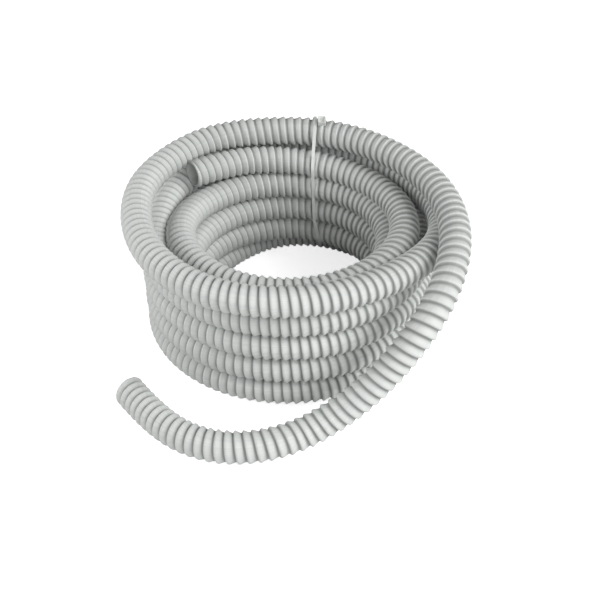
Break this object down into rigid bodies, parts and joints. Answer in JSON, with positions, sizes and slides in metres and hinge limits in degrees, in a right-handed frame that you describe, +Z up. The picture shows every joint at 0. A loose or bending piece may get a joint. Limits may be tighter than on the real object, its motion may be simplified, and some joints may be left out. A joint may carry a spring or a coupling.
{
  "type": "coiled corrugated conduit",
  "caption": "Flexible plastic conduit with a helical rib, wound in a coil and held by a cable tie, with a loose tail whose open end takes cables or a fitting.",
  "frame": {"origin": "centre of the whole part's box, on the floor it lies on", "axes": "+Z up along the coil's axis, +Y away from the side where the tail passes in front of the coil"},
  "size_m": [0.2195, 0.2454, 0.1129],
  "materials": {
    "conduit": "satin light grey",
    "tie": "translucent natural white"
  },
  "bodies": {
    "root": {"conduit_coil": "conduit", "conduit_tail": "conduit", "cable_tie": "tie"}
  },
  "joints": []
}
